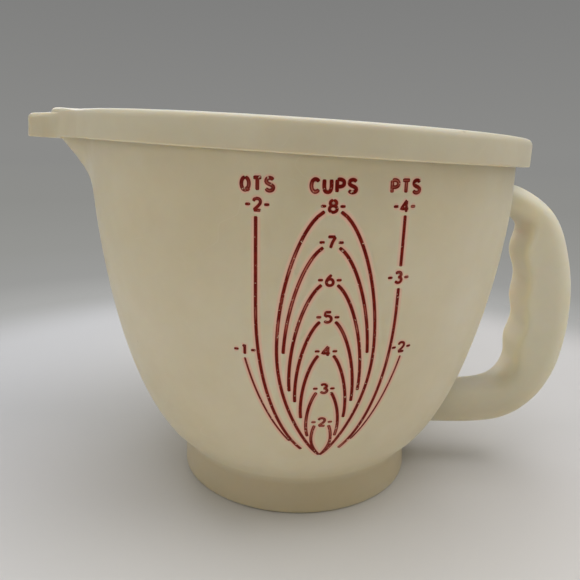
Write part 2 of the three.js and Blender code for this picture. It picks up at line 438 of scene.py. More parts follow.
def makeLid():
    s = lidSizes
    top = lidSeat + s["top"]
    panel = skirtEdge + s["panelThickness"]
    small = s["smallRound"]
    corners = [
        (0.0, skirtEdge, 0.0),
        (recessRadius / 2, skirtEdge, 0.0),
        (plugRadius, skirtEdge, 2 * small),
        (plugRadius, lidSeat, s["seatRound"]),
        (skirtInside, lidSeat, s["seatRound"]),
        (skirtInside, skirtEdge, small),
        (lidRadius, skirtEdge, small),
        (lidRadius, top, s["edgeRound"]),
        (recessRadius, top, 2 * small),
        (recessRadius, panel, 2 * small),
        (recessRadius / 2, panel, 0.0),
        (s["gateRadius"] + s["gateSlope"], panel, s["gateRound"]),
        (s["gateRadius"], panel + s["gateDepth"], s["gateRound"]),
        (0.0, panel + s["gateDepth"], 0.0),
    ]
    points, faces = turnProfile(roundCorners(corners), placeOnLid, bowlSizes["columns"])
    lid = meshPiece("lidMoulding", points, faces)
    weld(lid, meshPiece("tab", *tabShell()))
    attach(lid, "lid")
    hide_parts("lid")
    return lid


handleSizes = {
    "top": 127.7,            # back of the upper root at the wall
    "bottom": 19.3,
    "reach": 34.9,
    "width": 24.0,
    "barDepth": 21.1,
    "rootDepth": 12.5,
    "lowDepth": 17.9,
    "backFullness": 2.5,     # round back, flat finger side, rounder again at the ends
    "gripFullness": 7.5,
    "rootFullness": 2.3,
    "gripPitch": 20.0,
    "gripDepth": 0.8,
    "gripLow": 57.5,
    "gripFrom": 5.0,         # the finger grips fade in between these distances from the bends
    "gripFull": 15.0,
    "flatFrom": 6.0,         # the flat finger side sets in more slowly above the lower bend
    "flatFull": 28.0,
    "sink": 0.8,             # how deep the ends run into the bowl's wall
    "rootFillet": 1.6,
    "rootSwell": 0.07,
    "steps": 150,
    "sides": 56,
}
# the loop from the upper root to the lower one: shares of the reach beyond the bowl and of the height
backShares = [
    (-0.4, 1.034), (0.22, 0.986), (0.58, 0.912), (0.78, 0.82), (0.96, 0.63),
    (1, 0.462), (0.91, 0.256), (0.67, 0.113), (0.26, 0.02), (-1.15, -0.009),
]
gripShares = [
    (-1.06, 1.029), (0.42, 0.979), (0.76, 0.912), (0.76, 0.84), (0.89, 0.654),
    (0.98, 0.43), (0.79, 0.165), (0.46, 0.053), (-0.1, 0.01), (-3.03, -0.006),
]


def handlePoints(shares, reach, low, high):
    return [Vector((bowlSizes["radius"] + reach * outward, low + (high - low) * upward))
            for outward, upward in shares]


def alongCurve(points, share):
    # centripetal curve through the points
    last = len(points) - 1
    place = min(share * last, last - 1e-9)
    i = int(place)
    t = place - i
    p1, p2 = points[i], points[i + 1]
    p0 = points[i - 1] if i > 0 else 2 * p1 - p2
    p3 = points[i + 2] if i + 2 <= last else 2 * p2 - p1
    d0, d1, d2 = (max(1e-6, (b - a).length ** 0.5) for a, b in ((p0, p1), (p1, p2), (p2, p3)))
    m1 = ((p1 - p0) / d0 - (p2 - p0) / (d0 + d1) + (p2 - p1) / d1) * d1
    m2 = ((p2 - p1) / d1 - (p3 - p1) / (d1 + d2) + (p3 - p2) / d2) * d1
    a = 2 * p1 - 2 * p2 + m1 + m2
    b = -3 * p1 + 3 * p2 - 2 * m1 - m2
    return a * t ** 3 + b * t ** 2 + m1 * t + p1


def outsideWall(x, y, z):
    # distance outside the bowl's wall, seen along the radius
    wall = wallRadius(z + wallFall(x, z))
    if z < wallHeight(bowlSizes["footRadius"]):
        wall = bowlSizes["footRadius"]
    return math.hypot(x, y) - wall


def makeHandle():
    s = handleSizes
    under = s["top"] - s["rootDepth"]
    over = s["bottom"] + s["lowDepth"]
    back = handlePoints(backShares, s["reach"], s["bottom"], s["top"])
    grip = handlePoints(gripShares, s["reach"] - s["barDepth"], over, under)

    def section(share, angle):
        outer = alongCurve(back, share)
        inner = alongCurve(grip, share)
        belowTop = smoothstep(under - inner.y, s["gripFrom"], s["gripFull"])
        upright = smoothstep(inner.y - over, s["gripFrom"], s["gripFull"]) * belowTop
        flat = smoothstep(inner.y - over, s["flatFrom"], s["flatFull"]) * belowTop
        wave = math.cos((inner.y - s["gripLow"]) / s["gripPitch"] * 2 * math.pi)
        inner = Vector((inner.x - s["gripDepth"] * upright * wave, inner.y))
        middle = (outer + inner) / 2
        along, across = math.cos(angle), math.sin(angle)
        fingerSide = s["rootFullness"] + (s["gripFullness"] - s["rootFullness"]) * flat
        power = 2 / (s["backFullness"] if along > 0 else fingerSide)
        reach = math.copysign(abs(along) ** power, along)
        side = math.copysign(abs(across) ** power, across) * s["width"] / 2
        spot = middle + reach * (outer - inner) / 2
        offWall = max(0.0, outsideWall(spot.x, side, spot.y))
        swell = 1 + s["rootSwell"] * math.exp(-offWall / s["rootFillet"])
        spot = middle + reach * (outer - inner) / 2 * swell
        return (spot.x, side * swell, spot.y)

    def rootShare(angle, low, high):
        # where a line along the handle enters the wall; low lies inside the bowl and high outside
        for step in range(36):
            half = (low + high) / 2
            if outsideWall(*section(half, angle)) < -s["sink"]:
                low = half
            else:
                high = half
        return high

    sides, steps = s["sides"], s["steps"]
    lines = []
    for i in range(sides):
        angle = (i + 0.5) / sides * 2 * math.pi
        first = rootShare(angle, 0.0, 0.3)
        last = rootShare(angle, 1.0, 0.7)
        lines.append([section(first + (last - first) * k / steps, angle) for k in range(steps + 1)])
    points = [line[k] for k in range(steps + 1) for line in lines]
    handle = meshPiece("handleMoulding", points, joinRings(steps + 1, sides), sharpAngle=60)
    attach(handle, "vessel")
    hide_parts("handle")
    return handle


# the printed scale: arc is millimetres round the wall from the middle of the front, towards the handle
scaleSizes = {
    "middleArc": 8.0,
    "sideArc": 22.0,         # quart column to the left, pint column to the right
    "branchArc": 26.0,
    "headingHeight": 130.2,
    "letterTall": 3.6,
    "letterWide": 2.4,
    "letterGap": 1.2,
    "letterStroke": 1.1,
    "digitTall": 3.4,
    "digitWide": 2.55,
    "digitStroke": 0.9,
    "dashLong": 1.6,
    "dashGap": 0.75,
    "dashStroke": 0.8,
    "lineStroke": 1.0,
    "thinStroke": 0.6,
    "basePoint": 33.8,       # the cup arches run together here
    "underNumber": 1.5,      # and start this far below their number
    "startHalf": 2.4,
    "archHalf": 3.4,         # half width of the two-cup arch, and what each cup adds
    "archGrowth": 2.05,
    "archSwell": 0.5,        # quick swell under the number, long draw-in to the base point
    "archDrawIn": 0.8,
    "archSteps": 60,
    "sideHalf": 22.4,        # side lines are straight down to bendFrom and drawn in below it
    "bendFrom": 92.0,
    "bendDrop": 59.0,
    "bendFullness": 0.6,
    "sideSteps": 40,
    "branchHigh": 74.7,      # thin lines outside the side lines
    "branchLow": 41.0,
    "branchGap": 1.0,
    "branchSpread": 3.8,
    "inkLift": 0.06,
    "inkSink": 0.03,
    "endShare": 0.12,        # ends are blunt by this share of the stroke
    "linePaintedGlow": 1.4,        # soft rim of painted red glow round the ink, which runs out under the wall's surface
    "glyphPaintedGlow": 0.9,
}
cupMarks = {                 # cups: height of the number, and where the arch below it ends
    8: (124.4, 33.8), 7: (113.8, 76.5), 6: (102.2, 62.7), 5: (90.1, 57.9), 4: (78.2, 51.3),
    3: (64.1, 43.2), 2: (50.0, 33.8),
}
sideMarks = [                # number, side, column and height
    (2, -1, "sideArc", 124.4), (1, -1, "branchArc", 77.6), (4, 1, "sideArc", 124.4),
    (3, 1, "sideArc", 102.5), (2, 1, "branchArc", 78.0),
]
sideLines = [(-1, 121.0, 37.0), (1, 121.8, 106.0), (1, 99.0, 37.0)]  # side, upper and lower end
headings = {"QTS": -1, "CUPS": 0, "PTS": 1}


def loop(cx, cy, rx, ry):
    return [(cx + rx * math.sin(k / 12 * 2 * math.pi), cy + ry * math.cos(k / 12 * 2 * math.pi))
            for k in range(13)]


# single-stroke letters and digits in a box one wide and one tall; True marks a smooth stroke
strokes = {
    "1": [(False, [(0.25, 0.8), (0.5, 1.0), (0.5, 0.0)])],
    "2": [(True, [(0.06, 0.74), (0.2, 0.94), (0.5, 1.0), (0.82, 0.9), (0.88, 0.66), (0.68, 0.42),
                  (0.38, 0.2), (0.08, 0.0)]), (False, [(0.08, 0.0), (0.95, 0.0)])],
    "3": [(True, [(0.1, 0.86), (0.35, 1.0), (0.72, 0.96), (0.86, 0.76), (0.7, 0.57), (0.42, 0.53)]),
          (True, [(0.42, 0.53), (0.78, 0.48), (0.93, 0.26), (0.74, 0.04), (0.4, 0.0), (0.08, 0.16)])],
    "4": [(False, [(0.72, 0.0), (0.72, 1.0), (0.04, 0.3), (1.0, 0.3)])],
    "5": [(False, [(0.88, 1.0), (0.22, 1.0), (0.14, 0.55)]),
          (True, [(0.14, 0.55), (0.48, 0.64), (0.82, 0.52), (0.92, 0.28), (0.7, 0.04), (0.38, 0.0),
                  (0.06, 0.12)])],
    "6": [(True, [(0.7, 1.0), (0.34, 0.72), (0.1, 0.36), (0.2, 0.09), (0.5, 0.0), (0.82, 0.09),
                  (0.92, 0.33), (0.76, 0.55), (0.48, 0.6), (0.2, 0.48), (0.1, 0.33)])],
    "7": [(False, [(0.06, 1.0), (0.94, 1.0)]), (True, [(0.94, 1.0), (0.6, 0.52), (0.38, 0.0)])],
    "8": [(True, loop(0.5, 0.77, 0.37, 0.24)), (True, loop(0.5, 0.27, 0.45, 0.27))],
    "C": [(True, [(0.94, 0.8), (0.72, 0.96), (0.45, 1.0), (0.16, 0.84), (0.04, 0.5), (0.16, 0.16),
                  (0.45, 0.0), (0.72, 0.04), (0.94, 0.2)])],
    "P": [(False, [(0.1, 0.0), (0.1, 1.0)]),
          (True, [(0.1, 1.0), (0.6, 1.0), (0.92, 0.86), (0.92, 0.6), (0.6, 0.46), (0.1, 0.46)])],
    "Q": [(True, loop(0.5, 0.5, 0.47, 0.5)), (False, [(0.58, 0.26), (1.0, -0.06)])],
    "S": [(True, [(0.92, 0.84), (0.72, 0.97), (0.44, 1.0), (0.14, 0.9), (0.08, 0.7), (0.32, 0.55),
                  (0.68, 0.45), (0.94, 0.3), (0.88, 0.1), (0.56, 0.0), (0.28, 0.03), (0.04, 0.18)])],
    "T": [(False, [(0.0, 1.0), (1.0, 1.0)]), (False, [(0.5, 1.0), (0.5, 0.0)])],
    "U": [(True, [(0.08, 1.0), (0.08, 0.35), (0.22, 0.06), (0.5, 0.0), (0.78, 0.06), (0.92, 0.35),
                  (0.92, 1.0)])],
}


def onWall(arc, z, lift):
    # a point that stands off the outside of the wall by the lift
    r = wallRadius(z)
    angle = arc / r - math.pi / 2
    step = 0.2
    slope = (wallRadius(z + step) - wallRadius(z - step)) / (2 * step)
    lean = math.hypot(1, slope)
    x, y, height = placeOnBowl(r + lift / lean, z - lift * slope / lean, angle)
    return Vector((x, y, height))


def wallPoint(arc, level, lift=0.0):
    # the same for a height above the table: the wall's slope shifts it a little
    x = wallRadius(level) * math.sin(arc / wallRadius(level))
    return onWall(arc, level + wallFall(x, level), lift)


def evenPath(path, step=0.35):
    # points every step along a drawn line
    lengths = [0.0]
    for a, b in zip(path, path[1:]):
        lengths.append(lengths[-1] + math.dist(a, b))
    count = max(4, int(lengths[-1] / step))
    result = []
    k = 0
    for i in range(count + 1):
        want = lengths[-1] * i / count
        while k < len(path) - 2 and lengths[k + 1] < want:
            k += 1
        share = (want - lengths[k]) / max(1e-9, lengths[k + 1] - lengths[k])
        result.append((path[k][0] + (path[k + 1][0] - path[k][0]) * share,
                       path[k][1] + (path[k + 1][1] - path[k][1]) * share))
    return result


def inkRibbon(path, width, paintedGlow, ink):
    # ink along a line of (arc, height): a raised middle with round ends and soft rims of painted red glow
    path = evenPath(path)
    total = sum(math.dist(a, b) for a, b in zip(path, path[1:]))
    lift, sink = scaleSizes["inkLift"], -scaleSizes["inkSink"]
    base = len(ink["points"])
    walked = 0.0
    for i, (arc, z) in enumerate(path):
        before = path[max(0, i - 1)]
        after = path[min(len(path) - 1, i + 1)]
        if i > 0:
            walked += math.dist(before, (arc, z))
        ahead = Vector((after[0] - before[0], after[1] - before[1])).normalized()
        toEnd = min(walked, total - walked) + scaleSizes["endShare"] * width
        cap = min(1.0, toEnd / (width / 2))
        half = width / 2 * math.sqrt(1 - (1 - cap) ** 2)
        rim = half + paintedGlow * cap
        rows = ((rim, sink, 2), (half, lift, 1), (-half, lift, -1), (-rim, sink, -2))
        for offset, height, across in rows:
            spot = wallPoint(arc - ahead.y * offset, z + ahead.x * offset, height)
            ink["points"].append(tuple(spot))
            ink["across"].append(across)
    ink["faces"] += joinRings(len(path), len(rows), base)


def smoothStroke(path):
    spots = [Vector(p) for p in path]
    count = 8 * (len(spots) - 1)
    return [tuple(alongCurve(spots, k / count)) for k in range(count + 1)]


def writeGlyph(mark, arc, z, wide, tall, width, ink):
    # arc and z are the middle of the glyph
    for smooth, path in strokes[mark]:
        spots = smoothStroke(path) if smooth else path
        drawn = [(arc + (x - 0.5) * wide, z + (y - 0.5) * tall) for x, y in spots]
        inkRibbon(drawn, width, scaleSizes["glyphPaintedGlow"], ink)


def writeNumber(number, arc, z, ink):
    s = scaleSizes
    writeGlyph(str(number), arc, z, s["digitWide"], s["digitTall"], s["digitStroke"], ink)
    near = s["digitWide"] / 2 + s["dashGap"]
    for side in (-1, 1):
        dash = [(arc + side * near, z), (arc + side * (near + s["dashLong"]), z)]
        inkRibbon(dash, s["dashStroke"], s["glyphPaintedGlow"], ink)


def writeHeading(word, arc, ink):
    s = scaleSizes
    wide, tall = s["letterWide"], s["letterTall"]
    for i, letter in enumerate(word):
        place = arc + (i - (len(word) - 1) / 2) * (wide + s["letterGap"])
        writeGlyph(letter, place, s["headingHeight"], wide, tall, s["letterStroke"], ink)


def cupArch(number, side):
    s = scaleSizes
    height, lineEnd = cupMarks[number]
    full = s["archHalf"] + s["archGrowth"] * (number - 2)
    startShare = math.asin((s["startHalf"] / full) ** 2) / math.pi
    start = height - s["underNumber"]
    apex = (start - s["basePoint"] * startShare) / (1 - startShare)
    path = []
    for k in range(s["archSteps"] + 1):
        t = startShare + (1 - startShare) * k / s["archSteps"]
        z = apex - (apex - s["basePoint"]) * t
        if z < lineEnd:
            break
        swell = math.sin(math.pi * clamp01(t)) ** (s["archSwell"] if t < 0.5 else s["archDrawIn"])
        path.append((s["middleArc"] + side * full * swell, z))
    return path


def sideLine(side, high, low, branch=False):
    s = scaleSizes
    path = []
    for k in range(s["sideSteps"] + 1):
        z = high + (low - high) * k / s["sideSteps"]
        drawn = clamp01((s["bendFrom"] - z) / s["bendDrop"])
        offset = s["sideHalf"] * (1 - drawn * drawn) ** s["bendFullness"]
        if branch:
            offset += s["branchGap"] + s["branchSpread"] * (z - low) / (high - low)
        path.append((s["middleArc"] + side * offset, z))
    return path


def makeScale():
    s = scaleSizes
    ink = {"points": [], "faces": [], "across": []}
    for word, side in headings.items():
        writeHeading(word, s["middleArc"] + side * s["sideArc"], ink)
    for number, (height, lineEnd) in cupMarks.items():
        writeNumber(number, s["middleArc"], height, ink)
        for side in (-1, 1):
            inkRibbon(cupArch(number, side), s["lineStroke"], s["linePaintedGlow"], ink)
    for number, side, column, height in sideMarks:
        writeNumber(number, s["middleArc"] + side * s[column], height, ink)
    for side, high, low in sideLines:
        inkRibbon(sideLine(side, high, low), s["lineStroke"], s["linePaintedGlow"], ink)
    for side in (-1, 1):
        branch = sideLine(side, s["branchHigh"], s["branchLow"], branch=True)
        inkRibbon(branch, s["thinStroke"], s["linePaintedGlow"], ink)
    scale = meshPiece("scalePrint", ink["points"], ink["faces"])
    across = scale.data.attributes.new("across", "FLOAT", "POINT")
    across.data.foreach_set("value", ink["across"])
    scale.visible_shadow = False  # the ink is thinner than the glow of the plastic under it
    scale.visible_diffuse = False
    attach(scale, "vessel")
    return scale


bowl = makeBowl()
lid = makeLid()
handle = makeHandle()
scale = makeScale()
for piece in (bowl, lid, handle, scale):
    print("made", piece.name, len(piece.data.polygons), "faces")


def picture(red, green, blue):
    # a colour as a picture shows it, 0 to 255, turned into light values
    values = []
    for value in (red, green, blue):
        share = value / 255
        values.append(share / 12.92 if share < 0.04045 else ((share + 0.055) / 1.055) ** 2.4)
    return (*values, 1.0)


def newMaterial(name):
    material = bpy.data.materials.new(name)
    material.use_nodes = True
    material.node_tree.nodes.clear()
    return material, material.node_tree


def addNode(tree, kind, inputs=None, **settings):
    node = tree.nodes.new(kind)
    for key, value in settings.items():
        setattr(node, key, value)
    for key, value in (inputs or {}).items():
        if isinstance(value, bpy.types.NodeSocket):
            tree.links.new(value, node.inputs[key])
        else:
            node.inputs[key].default_value = value
    return node


def mathNode(tree, operation, a, b=0.5, clamp=False):
    return addNode(tree, "ShaderNodeMath", {0: a, 1: b}, operation=operation, use_clamp=clamp).outputs[0]


def mixColour(tree, factor, a, b, blend="MIX"):
    inputs = {"Factor": factor, "A": a, "B": b}
    return addNode(tree, "ShaderNodeMix", inputs, data_type="RGBA", blend_type=blend).outputs["Result"]


def mapRange(tree, value, low, high, toLow=0.0, toHigh=1.0):
    inputs = {"Value": value, "From Min": low, "From Max": high, "To Min": toLow, "To Max": toHigh}
    return addNode(tree, "ShaderNodeMapRange", inputs).outputs["Result"]


def noiseNode(tree, place, scale, detail, distortion=0.0):
    inputs = {"Vector": place, "Scale": scale, "Detail": detail, "Distortion": distortion}
    return addNode(tree, "ShaderNodeTexNoise", inputs).outputs["Fac"]


castWear = {                 # scales are in cells to a metre
    "cloudScale": 16.0,
    "mottleScale": 140.0,
    "mottleShare": 0.35,
    "scuffScale": 26.0,
    "scuffBend": 1.6,
    "scuffWidth": 0.006,
    "scuffPatches": 34.0,
    "scuffColour": (226, 222, 208),
    "scuffTint": 0.35,
    "scuffDulling": 0.15,
    "scuffDepth": 0.5,
    "speckScale": 95.0,
    "speckAbove": 0.93,      # only the cells above this share hold a speck
    "speckColour": (112, 98, 74),
    "grainScale": 1500.0,
    "grainDepth": 0.25,
    "waveScale": 110.0,
    "waveDepth": 0.6,
    "satinSpread": 0.05,
}
wearSockets = ("Clouding", "Scuffs", "Specks", "Satin")


def castPlasticGroup():
    # aged ivory plastic: clouding, mottle, hairline scuffs, sparse specks and a fine moulded grain
    s = castWear
    tree = bpy.data.node_groups.new("castPlastic", "ShaderNodeTree")
    for name in ("Pale", "Deep"):
        tree.interface.new_socket(name, in_out="INPUT", socket_type="NodeSocketColor")
    for name in wearSockets:
        tree.interface.new_socket(name, in_out="INPUT", socket_type="NodeSocketFloat")
    tree.interface.new_socket("Color", in_out="OUTPUT", socket_type="NodeSocketColor")
    for name in ("Roughness", "Height"):
        tree.interface.new_socket(name, in_out="OUTPUT", socket_type="NodeSocketFloat")
    given = addNode(tree, "NodeGroupInput").outputs
    place = addNode(tree, "ShaderNodeTexCoord").outputs["Object"]

    cloud = mapRange(tree, noiseNode(tree, place, s["cloudScale"], 3.0), 0.34, 0.66)
    mottle = mapRange(tree, noiseNode(tree, place, s["mottleScale"], 4.0), 0.3, 0.7)
    both = mathNode(tree, "MULTIPLY_ADD", mottle, s["mottleShare"])
    tree.links.new(cloud, both.node.inputs[2])
    cloudShare = mathNode(tree, "MULTIPLY", both, given["Clouding"], clamp=True)
    colour = mixColour(tree, cloudShare, given["Pale"], given["Deep"])

    # hairlines: thin bands of a slow noise, kept only in patches
    slow = noiseNode(tree, place, s["scuffScale"], 1.5, s["scuffBend"])
    band = mathNode(tree, "ABSOLUTE", mathNode(tree, "SUBTRACT", slow, 0.5))
    hairline = mapRange(tree, band, 0.0, s["scuffWidth"], 1.0, 0.0)
    patch = mapRange(tree, noiseNode(tree, place, s["scuffPatches"], 2.0), 0.56, 0.66)
    scuff = mathNode(tree, "MULTIPLY", mathNode(tree, "MULTIPLY", hairline, patch), given["Scuffs"])
    scuffShare = mathNode(tree, "MULTIPLY", scuff, s["scuffTint"])
    colour = mixColour(tree, scuffShare, colour, picture(*s["scuffColour"]))

    # specks: a few cells hold a small dark spot
    cells = addNode(tree, "ShaderNodeTexVoronoi", {"Vector": place, "Scale": s["speckScale"]})
    dot = mapRange(tree, cells.outputs["Distance"], 0.03, 0.085, 1.0, 0.0)
    chosen = addNode(tree, "ShaderNodeSeparateColor", {"Color": cells.outputs["Color"]}).outputs[0]
    rare = mathNode(tree, "GREATER_THAN", chosen, s["speckAbove"])
    speck = mathNode(tree, "MULTIPLY", mathNode(tree, "MULTIPLY", dot, rare), given["Specks"])
    colour = mixColour(tree, speck, colour, picture(*s["speckColour"]))

    grain = mathNode(tree, "MULTIPLY", noiseNode(tree, place, s["grainScale"], 2.0), s["grainDepth"])
    wave = noiseNode(tree, place, s["waveScale"], 2.0)
    uneven = mapRange(tree, wave, 0.3, 0.7, -s["satinSpread"], s["satinSpread"])
    rough = mathNode(tree, "ADD", given["Satin"], uneven)
    dulled = mathNode(tree, "MULTIPLY", scuff, s["scuffDulling"])
    rough = mathNode(tree, "ADD", rough, dulled, clamp=True)
    height = mathNode(tree, "ADD", grain, mathNode(tree, "MULTIPLY", wave, s["waveDepth"]))
    height = mathNode(tree, "SUBTRACT", height, mathNode(tree, "MULTIPLY", scuff, s["scuffDepth"]))
    addNode(tree, "NodeGroupOutput", {"Color": colour, "Roughness": rough, "Height": height})
    return tree


castPlastic = castPlasticGroup()

bowlFinish = {
    "pale": (210, 201, 177),
    "deep": (201, 190, 160),
    # painted shade: the foot ring and the wall just above it are darker, as the bowl's bulge keeps light
    # off them
    "paintedLowShade": (164, 146, 110),
    "paintedShadeFrom": 16.5,         # millimetres above the table; the painted shade is full below the lower height
    "paintedShadeFull": 12.5,
    "paintedShadeShare": 0.45,
    "clouding": 0.75,
    "scuffs": 0.5,
    "specks": 0.5,
    "satin": 0.4,
    "glowDepth": 4.0,        # millimetres of scatter
}
lidFinish = {
    "pale": (201, 195, 172),
    "deep": (193, 182, 155),
    "paintedLight": (206, 202, 184),
    "paintedLightSide": (0.0, 0.0, 1.0),       # painted light: the top is paler, standing in for light from above and its sheen
    "clouding": 0.7,
    "scuffs": 0.8,
    "specks": 0.35,
    "satin": 0.44,
    "glowDepth": 2.0,
}
handleFinish = {
    "pale": (207, 202, 183),
    "deep": (198, 193, 167),
    "paintedLight": (217, 211, 189),
    "paintedLightSide": (-1.0, 0.0, 0.0),      # painted light: the side towards the bowl is paler, as if lit
    # painted shade: the lower bar is darker, as the bowl and the handle's arch keep light off it
    "paintedLowShade": (150, 132, 108),
    "paintedShadeFrom": 50.0,
    "paintedShadeFull": 26.0,
    "paintedShadeShare": 0.28,
    "clouding": 0.7,
    "scuffs": 0.6,
    "specks": 0.3,
    "satin": 0.56,
    "glowDepth": 14.0,
}
plasticLook = {              # the same on all three mouldings
    "glowWeight": 0.9,
    "glowRadius": (1.0, 0.78, 0.48),
    "paintedLightFrom": 0.7,       # how squarely a surface has to face the side with painted light
    "paintedLightFull": 0.98,
    "grainStrength": 0.25,
    "grainDepth": 0.3,       # millimetres
}


def castPlasticNode(tree, finish):
    cast = addNode(tree, "ShaderNodeGroup", node_tree=castPlastic)
    cast.inputs["Pale"].default_value = picture(*finish["pale"])
    cast.inputs["Deep"].default_value = picture(*finish["deep"])
    for socket in wearSockets:
        cast.inputs[socket].default_value = finish[socket.lower()]
    return cast


def addSurface(tree, look, colour, rough, height, more):
    bump = addNode(tree, "ShaderNodeBump", {
        "Strength": look["grainStrength"],
        "Distance": look["grainDepth"] * mm,
        "Height": height,
    })
    shader = addNode(tree, "ShaderNodeBsdfPrincipled", {
        "Base Color": colour,
        "Roughness": rough,
        "Normal": bump.outputs["Normal"],
        **more,
    })
    addNode(tree, "ShaderNodeOutputMaterial", {"Surface": shader.outputs["BSDF"]})


def plasticMaterial(name, finish):
    look = plasticLook
    material, tree = newMaterial(name)
    cast = castPlasticNode(tree, finish)
    colour = cast.outputs["Color"]
    # painted light: surfaces facing the named side are paler
    if "paintedLight" in finish:
        normal = addNode(tree, "ShaderNodeTexCoord").outputs["Normal"]
        facing = addNode(tree, "ShaderNodeVectorMath", {0: normal, 1: finish["paintedLightSide"]},
                         operation="DOT_PRODUCT").outputs["Value"]
        share = mapRange(tree, facing, look["paintedLightFrom"], look["paintedLightFull"])
        colour = mixColour(tree, share, colour, picture(*finish["paintedLight"]))
    # painted shade low down, fading out upwards
    if "paintedLowShade" in finish:
        place = addNode(tree, "ShaderNodeTexCoord").outputs["Object"]
        height = addNode(tree, "ShaderNodeSeparateXYZ", {"Vector": place}).outputs["Z"]
        full, start = finish["paintedShadeFull"] * mm, finish["paintedShadeFrom"] * mm
        low = mapRange(tree, height, full, start, finish["paintedShadeShare"], 0.0)
        colour = mixColour(tree, low, colour, picture(*finish["paintedLowShade"]))
    addSurface(tree, look, colour, cast.outputs["Roughness"], cast.outputs["Height"], {
        "IOR": 1.5,
        "Specular IOR Level": 0.42,
        "Subsurface Weight": look["glowWeight"],
        "Subsurface Radius": look["glowRadius"],
        "Subsurface Scale": finish["glowDepth"] * mm,
    })
    return material


inkFinish = {
    "ink": (100, 8, 0),
    "thin": (124, 28, 14),
    "streak": (174, 98, 82),     # thin middle of a line, between its two thicker rims
    "bare": (186, 160, 136),
    "paintedGlow": (222, 168, 150),
    "bodyScale": 420.0,
    "streakScale": 75.0,
    "rubScale": 1100.0,
    "worn": 0.66,            # the noise above this shows bare plastic
    "wornEdge": 0.05,
    "paintedGlowEnd": 1.85,        # 1 is the edge of the full ink, 2 the end of its rim of painted glow
    "grainStrength": 0.15,
    "grainDepth": 0.1,       # millimetres
}


def inkMaterial():
    # red screen print: thinner in places, rubbed through in small spots, with a soft rim of painted red
    # glow round it, for the light the ink tints inside the plastic
    s = inkFinish
    material, tree = newMaterial("redInk")
    place = addNode(tree, "ShaderNodeTexCoord").outputs["Object"]
    across = addNode(tree, "ShaderNodeAttribute", attribute_name="across").outputs["Fac"]
    fromMiddle = mathNode(tree, "ABSOLUTE", across)
    body = noiseNode(tree, place, s["bodyScale"], 3.0)
    rub = noiseNode(tree, place, s["rubScale"], 2.0)
    colour = mixColour(tree, mapRange(tree, body, 0.45, 0.75), picture(*s["ink"]), picture(*s["thin"]))
    middle = mapRange(tree, fromMiddle, 0.1, 0.6, 0.9, 0.0)
    patch = mapRange(tree, noiseNode(tree, place, s["streakScale"], 2.0), 0.52, 0.62)
    colour = mixColour(tree, mathNode(tree, "MULTIPLY", middle, patch), colour, picture(*s["streak"]))
    spots = mapRange(tree, rub, s["worn"], s["worn"] + s["wornEdge"])
    colour = mixColour(tree, spots, colour, picture(*s["bare"]))
    cast = castPlasticNode(tree, bowlFinish)
    # painted glow: a pinkish rim round the ink, fading out into the plastic
    runOut = mapRange(tree, fromMiddle, 1.0, s["paintedGlowEnd"], 1.0, 0.0)
    rim = mixColour(tree, runOut, cast.outputs["Color"], picture(*s["paintedGlow"]))
    colour = mixColour(tree, mapRange(tree, fromMiddle, 0.98, 1.1), colour, rim)
    rough = mapRange(tree, body, 0.3, 0.7, 0.4, 0.54)
    addSurface(tree, s, colour, rough, rub, {"Specular IOR Level": 0.1})
    return material


bowl.data.materials.append(plasticMaterial("bowlPlastic", bowlFinish))
lid.data.materials.append(plasticMaterial("lidPlastic", lidFinish))
handle.data.materials.append(plasticMaterial("handlePlastic", handleFinish))
scale.data.materials.append(inkMaterial())
print("materials done")


stage = {
    "floor": [               # metres behind the bowl's axis and the colour there: painted light and shade on the paper, brighter in front
        (-0.5, (240, 239, 236)), (-0.1, (213, 211, 207)), (-0.03, (204, 202, 199)),
        (0.03, (193, 192, 189)), (0.3, (192, 191, 189)),
    ],
    # painted light: the paper is brighter towards the right
    "paintedLightAcross": [(-0.17, (249, 250, 251)), (0.02, (248, 247, 243)), (0.16, (255, 253, 250))],
    "bounce": (230, 225, 214),   # what the paper throws back at the bowl
    "backdrop": [            # metres from the bowl and the grey that the eye sees there
        (0.34, (169, 169, 167)), (0.42, (155, 155, 153)), (0.6, (149, 149, 146)), (0.9, (145, 145, 142)),
        (1.3, (142, 142, 139)), (4.0, (139, 139, 137)),
    ],
    "fadeFrom": 0.24,        # the lit floor runs over into the backdrop between these distances
    "fadeTo": 0.34,
    "floorReach": 12.0,
    "floorDrop": 0.0002,     # keeps the paper off the foot's own face
    "horizon": (139, 139, 137),
    "overhead": (127, 127, 126),
    "fadeHeight": 0.22,      # upward share of the view at which the backdrop is darkest
    "worldLight": 0.14,
    "worldTint": (1.0, 0.985, 0.96, 1.0),
}


def greyRamp(tree, value, stops):
    # colours set at given values, blended between them
    low, high = stops[0][0], stops[-1][0]
    ramp = addNode(tree, "ShaderNodeValToRGB", {"Fac": mapRange(tree, value, low, high)})
    marks = ramp.color_ramp.elements
    while len(marks) < len(stops):
        marks.new(0.5)
    for mark, (at, colour) in zip(marks, stops):
        mark.position = (at - low) / (high - low)
        mark.color = picture(*colour)
    return ramp.outputs["Color"]


def seenRay(tree):
    # rays by which the backdrop is seen, straight or in a gloss
    path = addNode(tree, "ShaderNodeLightPath").outputs
    seen = mathNode(tree, "MAXIMUM", path["Is Camera Ray"], path["Is Glossy Ray"])
    return mathNode(tree, "MAXIMUM", seen, path["Is Transmission Ray"])


